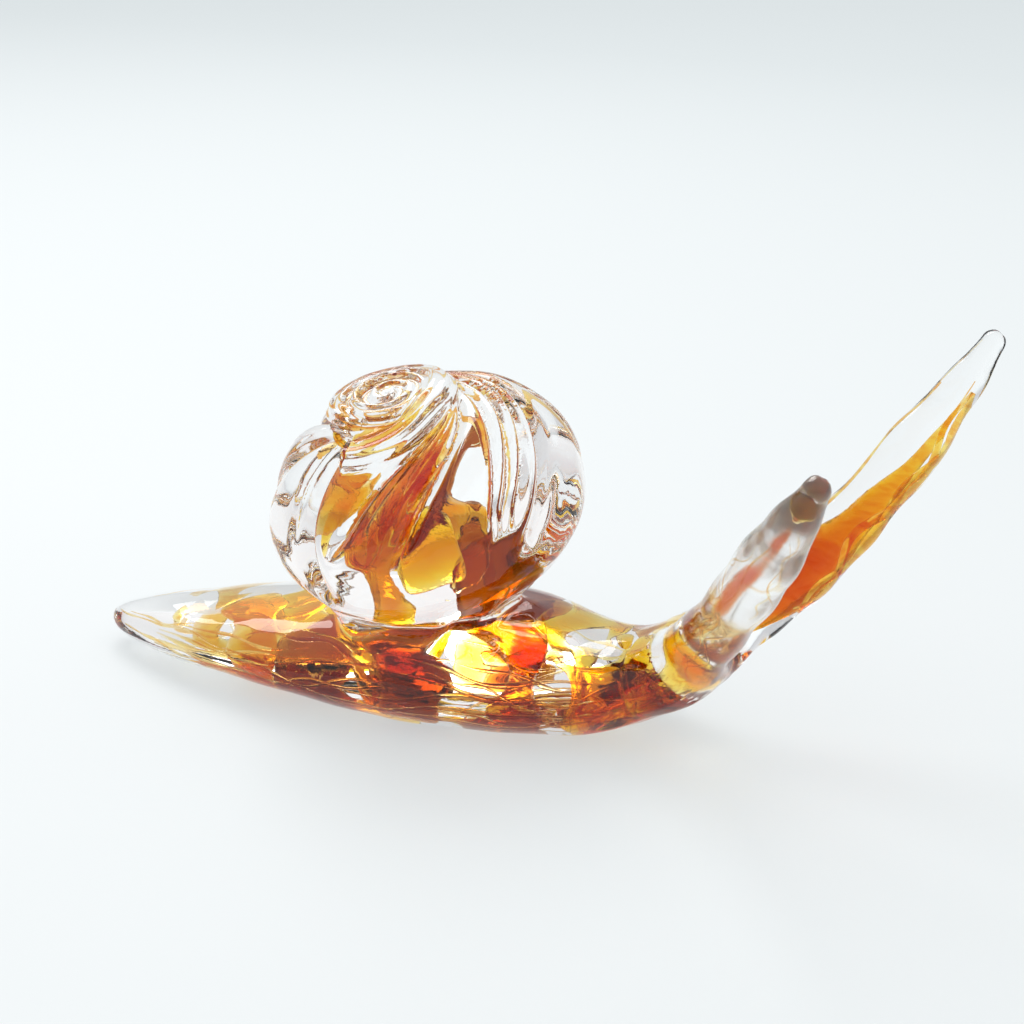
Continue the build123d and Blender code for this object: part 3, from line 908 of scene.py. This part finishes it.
# How much of the swirl each chip leaves clear: the higher the number, the sparser the colour
BODY_CHIPS = (
    ("tail_honey_chip", -1.6), ("tail_amber_chip", -0.6), ("hip_amber_chip", -0.4),
    ("far_hip_honey_chip", 0.3), ("flank_honey_chip", -0.2), ("flank_umber_chip", 0.3),
    ("keel_amber_chip", 0.5), ("far_flank_amber_chip", 0.6), ("belly_umber_chip", 0.4),
    ("far_belly_umber_chip", 0.9), ("fold_amber_chip", 0.2), ("saddle_honey_chip", 0.1),
    ("neck_amber_chip", -0.1), ("far_neck_umber_chip", 1.5), ("throat_amber_chip", -0.2),
    ("far_throat_honey_chip", 0.7),
)
SHELL_CHIPS = (
    ("shell_orange_block", 0.2), ("shell_umber_veil", 0.1), ("shell_left_amber_chip", -0.1),
    ("shell_tail_honey_chip", 0.3), ("shell_back_amber_chip", 0.7), ("shell_back_umber_chip", 1.0),
    ("shell_window_amber_chip", 0.4), ("shell_crown_amber_chip", -0.2), ("shell_far_honey_chip", 0.5),
    ("shell_far_amber_chip", 0.8),
)
add_veils(BODY, body_core, BODY_CHIPS, wave_set(20, 9, 22, (1.8, 1.0, 1.0)), 17.0, 2.6)
add_veils(SHELL, shell_core, SHELL_CHIPS, wave_set(16, 13, 28, (1.0, 1.0, 1.3)), 15.0, 3.0)


def shell_place(longitude, latitude, depth):
    """Gives a point of the shell by its longitude and latitude, in degrees, and its depth under the dome."""
    longitude, latitude = np.radians(longitude), np.radians(latitude)
    local = np.stack(
        (
            (SHELL_RADIUS - depth) * np.cos(latitude) * np.cos(longitude),
            (SHELL_RADIUS - depth) * np.cos(latitude) * np.sin(longitude),
            (SHELL_RISE - depth) * np.sin(latitude),
        ),
        axis=-1,
    )
    return SHELL_CENTRE + local @ SHELL_TURN.T


def block_field(middle, turn, half_sizes, rounding):
    """Gives the field of a lump with flat sides and rounded edges."""
    def field(points):
        local = np.abs((points - middle) @ turn) - np.array(half_sizes) + rounding
        outside = np.linalg.norm(np.maximum(local, 0.0), axis=1)
        return outside + np.minimum(local.max(axis=1), 0.0) - rounding + 0.3 * ripple(points, 3.0, 1.0)
    return field


def skin_lump(field, low, high, step):
    """Skins a field within a box."""
    points, shape = grid_points(low, high, step)
    places, faces = surface_net(field(points).reshape(shape), low, step)
    return slide(places, field, 2), faces


def add_joined(name, skins, tint):
    """Makes one piece of colour of several skins."""
    places, faces = join(skins)
    finish_colour(add_mesh(name + "_glass", places, faces, (tints[tint],)), name)


BLOCK_HALF_SIZES = (6.5, 5.0, 5.5)
BLOCK_ROUNDING = 1.6
BLOCK_ROOM = 12.0
BLOCK_STEP = 0.7
block_middle = shell_place(-64.0, 4.0, 11.0)
block_spin = Matrix.Rotation(math.radians(35.0), 3, "Z") @ Matrix.Rotation(0.3, 3, "X")
block = block_field(block_middle, SHELL_TURN @ np.array(block_spin), BLOCK_HALF_SIZES, BLOCK_ROUNDING)
block_skin = skin_lump(block, block_middle - BLOCK_ROOM, block_middle + BLOCK_ROOM, BLOCK_STEP)
add_joined("shell_honey_block", [block_skin], "honey_glass")


def shell_line(equator, share, south, north, depth, size, count=40):
    """Draws a thread of colour up the shell along its twist, thin at both ends."""
    along = np.linspace(0.0, 1.0, count)
    latitude = south + (north - south) * along
    longitude = equator + share * np.degrees(crown_twist(np.radians(latitude)))
    sizes = size * np.sin(math.pi * (0.06 + 0.88 * along)) ** 0.7
    return tube(shell_place(longitude, latitude, depth), sizes)


def crown_line(start, turns, inner, outer, high, low, size, count=60):
    """Draws a thread of colour that winds out from the button on to the coil, under the skin."""
    along = np.linspace(0.0, 1.0, count)
    angle = np.radians(start) - 2 * math.pi * turns * along
    reach = inner + (outer - inner) * along
    local = np.stack(
        (
            CROWN_PLACE[0] + reach * np.cos(angle),
            CROWN_PLACE[1] + reach * np.sin(angle),
            high + (low - high) * along,
        ),
        axis=-1,
    )
    sizes = size * np.sin(math.pi * (0.06 + 0.88 * along)) ** 0.5
    return tube(SHELL_CENTRE + local @ SHELL_TURN.T, sizes)


# Threads of the crown: the angle at which each starts, its turns, its distance from the axis and its height
# at both ends, and its size
CROWN_LINES = (
    (200.0, 1.2, 2.0, 7.5, 26.6, 25.0, 0.3),
    (20.0, 1.4, 3.0, 8.4, 26.4, 26.0, 0.22),
    (20.0, 0.9, 8.0, 12.0, 24.0, 23.0, 0.5),
    (80.0, 0.8, 8.2, 8.4, 25.0, 24.0, 0.3),
    (250.0, 0.7, 8.0, 8.4, 23.5, 22.5, 0.35),
    (290.0, 0.6, 9.5, 13.5, 25.0, 23.0, 0.3),
    (120.0, 1.0, 12.5, 15.0, 22.5, 20.0, 0.5),
    (260.0, 0.55, 13.0, 16.0, 21.5, 19.0, 0.7),
)
# Threads under the ribs: longitude at the equator, share of the twist, latitudes, depth and size
RIB_LINES = (
    (-91.0, 1.05, 6, 66, 6.0, 1.2),
    (-88.0, 1.08, 10, 68, 4.6, 0.5),
    (-96.5, 1.0, 16, 70, 5.2, 0.7),
    (-83.0, 1.1, 14, 70, 5.2, 0.8),
    (-42.0, 1.0, 14, 69, 5.0, 0.6),
    (-113.0, -0.3, -10, 60, 7.4, 0.6),
    (-38.0, 2.2, 12, 66, 5.0, 0.4),
    (28.0, 1.8, -10, 60, 6.6, 0.5),
    (200.0, 0.2, -10, 60, 7.0, 0.6),
)
rope_skins = [crown_line(*row) for row in CROWN_LINES] + [shell_line(*row) for row in RIB_LINES]
add_joined("shell_rope_streak", rope_skins, "deep_amber_glass")


def tentacle_thread(gather, start, end, angle, wander, depth, size, waves=0.0, count=40):
    """Draws a thread of colour along a tentacle, at an angle that runs from its lower edge, at 0 degrees, to
    the side that shows, at 90, and turns by its wander on the way."""
    line, stations = gather
    along = np.linspace(0.0, 1.0, count)
    share = start + (end - start) * along
    middle, edge, front = tentacle_frame(line, share)
    turn = np.radians(angle + wander * along + waves * np.sin(4 * math.pi * along))
    room = (eased_radius(stations, share) - depth)[:, None]
    points = middle + room * (np.cos(turn)[:, None] * edge + np.sin(turn)[:, None] * front)
    return tube(points, size * np.sin(math.pi * (0.05 + 0.9 * along)) ** 0.6)


WEDGE_COVER = 0.8


def wedge(gather, start, end, offset, full, count=48):
    """Draws a wedge of colour that fills a tentacle as far as a share of the way, then thins out along its
    lower edge."""
    line, stations = gather
    along = np.linspace(0.0, 1.0, count)
    share = start + (end - start) * along
    middle, edge, front = tentacle_frame(line, share)
    room = eased_radius(stations, share) - WEDGE_COVER
    thin = np.clip((along - full) / (1 - full), 0.0, 1.0)
    size = room * (1 - thin) ** 1.25 * smoothstep(-0.04, 0.24, along) * 0.92 + 0.12
    size = size * (1 + 0.06 * np.sin(23 * along))
    return tube(middle + edge * (offset * (room - size))[:, None], size, 0.85, 18)


LEFT_GATHER = (LEFT_LINE, LEFT_RADII)
RIGHT_GATHER = (RIGHT_LINE, RIGHT_RADII)
add_joined(
    "left_tentacle_amber_streak",
    [
        wedge(LEFT_GATHER, 0.12, 0.92, 0.4, 0.26),
        tentacle_thread(LEFT_GATHER, 0.3, 0.88, 172, 10, 1.2, 0.55, 6),
        tentacle_thread(LEFT_GATHER, 0.28, 0.9, 2, 10, 2.0, 1.2, 34),
        tentacle_thread(LEFT_GATHER, 0.28, 0.9, 30, -10, 2.2, 1.0, -38),
        tentacle_thread(LEFT_GATHER, 0.86, 0.995, 8, 0, 0.7, 0.2),
        tentacle_thread(LEFT_GATHER, 0.82, 0.995, 176, 0, 0.7, 0.18),
    ],
    "deep_amber_glass",
)


def loose_threads(gather, count, starts, ends, wander, depths, sizes, waves):
    """Draws uneven threads in a tentacle, each taken at random from the ranges given."""
    skins = []
    for _ in range(count):
        start, end = draw.uniform(*starts), draw.uniform(*ends)
        angle, turn = draw.uniform(0, 360), draw.uniform(-wander, wander)
        depth, size = draw.uniform(*depths), draw.uniform(*sizes)
        wave = draw.uniform(-waves, waves)
        skins.append(tentacle_thread(gather, start, end, angle, turn, depth, size, wave))
    return skins


def tip_lump(gather, start, end, cover):
    """Draws a lump of colour that swells towards the tip of a tentacle."""
    line, stations = gather
    along = np.linspace(0.0, 1.0, 20)
    share = start + (end - start) * along
    room = eased_radius(stations, share) - cover
    return tube(line_point(line, share), room * np.sin(math.pi * (0.02 + 0.94 * along**1.6)) ** 0.7, 1.0, 16)


# The threads in the root of the near tentacle, and the faint curls in its clear middle
root_skins = loose_threads(RIGHT_GATHER, 20, (0.04, 0.24), (0.3, 0.46), 40, (1.4, 4.2), (0.25, 0.6), 14)
curl_skins = loose_threads(RIGHT_GATHER, 6, (0.34, 0.5), (0.66, 0.88), 80, (1.2, 4.0), (0.1, 0.2), 30)
add_joined("right_tentacle_amber_streak", root_skins + curl_skins, "amber_glass")
add_joined("right_tentacle_tip_streak", [tip_lump(RIGHT_GATHER, 0.89, 0.985, 1.4)], "amber_glass")

# Floor, light and camera
PHOTO_SIDE = 1024
LENS = 85.0
SENSOR = 36.0
VIEW_AZIMUTH = math.radians(24.0)
VIEW_ELEVATION = math.radians(19.0)
PIXELS_PER_MM = 4.13
ORIGIN_PIXEL = (430.0, 690.0)
FLOOR_REACH = 4.0
FLOOR_DROP = 0.0002
SOFTBOX_PLACE = Vector((-0.5, 0.55, 0.9))
SOFTBOX_AIM = Vector((0.0, 0.0, 0.03))
SOFTBOX_SIDE = 0.7
SOFTBOX_POWER = 6.5


def axis_of_space(tree, space, axis):
    """Gives one coordinate of a place, in the named space."""
    where = tree.nodes.new("ShaderNodeTexCoord")
    split = tree.nodes.new("ShaderNodeSeparateXYZ")
    tree.links.new(where.outputs[space], split.inputs[0])
    return split.outputs[axis]


def floor_material():
    """Pale paper with painted light: it glows, which lightens the shadow under the snail, and the glow is
    painted a little dimmer towards the back.
    """
    tree, out, material = new_material("pale_floor")
    paper = tree.nodes.new("ShaderNodeBsdfPrincipled")
    paper.inputs["Base Color"].default_value = (0.28, 0.29, 0.295, 1.0)
    paper.inputs["Roughness"].default_value = 0.6
    # Painted light: the floor glows on its own, which lifts the shade under the snail, and painted shade dims
    # that glow towards the back
    paper.inputs["Emission Strength"].default_value = 0.53
    depth = axis_of_space(tree, "Object", "Y")
    painted_glow_falloff = add_ramp(tree, depth, 0.1, (0.93, 0.985, 1.0), 1.0, (0.7, 0.78, 0.8))
    tree.links.new(painted_glow_falloff.outputs["Color"], paper.inputs["Emission Color"])
    tree.links.new(paper.outputs[0], out.inputs["Surface"])
    return material


def add_floor():
    """Lays the pale floor just under the snail."""
    mesh = bpy.data.meshes.new("floor")
    corners = ((-1, -1), (1, -1), (1, 1), (-1, 1))
    places = [(FLOOR_REACH * x, FLOOR_REACH * y, -FLOOR_DROP) for x, y in corners]
    mesh.from_pydata(places, [], [(0, 1, 2, 3)])
    mesh.materials.append(floor_material())
    floor = bpy.data.objects.new("floor", mesh)
    bpy.context.scene.collection.objects.link(floor)


def add_softbox():
    """Hangs one large soft light behind the snail and to its tail side."""
    light = bpy.data.lights.new("softbox", "AREA")
    light.shape = "RECTANGLE"
    light.size = SOFTBOX_SIDE
    light.size_y = SOFTBOX_SIDE
    light.energy = SOFTBOX_POWER
    light.color = (1.0, 0.99, 0.97)
    softbox = bpy.data.objects.new("softbox", light)
    softbox.location = SOFTBOX_PLACE
    softbox.rotation_euler = (SOFTBOX_AIM - SOFTBOX_PLACE).to_track_quat("-Z", "Y").to_euler()
    bpy.context.scene.collection.objects.link(softbox)


def add_world():
    """Surrounds the snail with a soft white light, dimmer low down."""
    world = bpy.data.worlds.new("studio")
    bpy.context.scene.world = world
    world.use_nodes = True
    tree = world.node_tree
    background = tree.nodes["Background"]
    height = axis_of_space(tree, "Generated", "Z")
    ramp = add_ramp(tree, height, 0.0, (0.6, 0.61, 0.63), 0.75, (1.0, 1.0, 1.0))
    tree.links.new(ramp.outputs["Color"], background.inputs["Color"])
    background.inputs["Strength"].default_value = 0.98


def add_camera():
    """Places the camera that was fitted to the photo, so that the snail's origin falls on its pixel."""
    right = Vector((math.cos(VIEW_AZIMUTH), math.sin(VIEW_AZIMUTH), 0))
    level = math.cos(VIEW_ELEVATION)
    back = Vector(
        (math.sin(VIEW_AZIMUTH) * level, -math.cos(VIEW_AZIMUTH) * level, math.sin(VIEW_ELEVATION))
    )
    up = back.cross(right)
    focal = PHOTO_SIDE * LENS / SENSOR
    distance = focal / PIXELS_PER_MM
    shift_right = (ORIGIN_PIXEL[0] - PHOTO_SIDE / 2) * distance / focal
    shift_up = (PHOTO_SIDE / 2 - ORIGIN_PIXEL[1]) * distance / focal
    place = (back * distance - right * shift_right - up * shift_up) * MM
    lens = bpy.data.cameras.new("camera")
    lens.lens = LENS
    lens.sensor_width = SENSOR
    lens.clip_start = 0.01
    camera = bpy.data.objects.new("camera", lens)
    camera.matrix_world = Matrix.Translation(place) @ Matrix((right, up, back)).transposed().to_4x4()
    bpy.context.scene.collection.objects.link(camera)
    bpy.context.scene.camera = camera


add_floor()
add_softbox()
add_world()
add_camera()

scene = bpy.context.scene
scene.view_settings.view_transform = "Standard"
scene.cycles.max_bounces = 64
scene.cycles.transmission_bounces = 64
scene.cycles.glossy_bounces = 6
scene.cycles.caustics_refractive = True
scene.cycles.transparent_max_bounces = 32
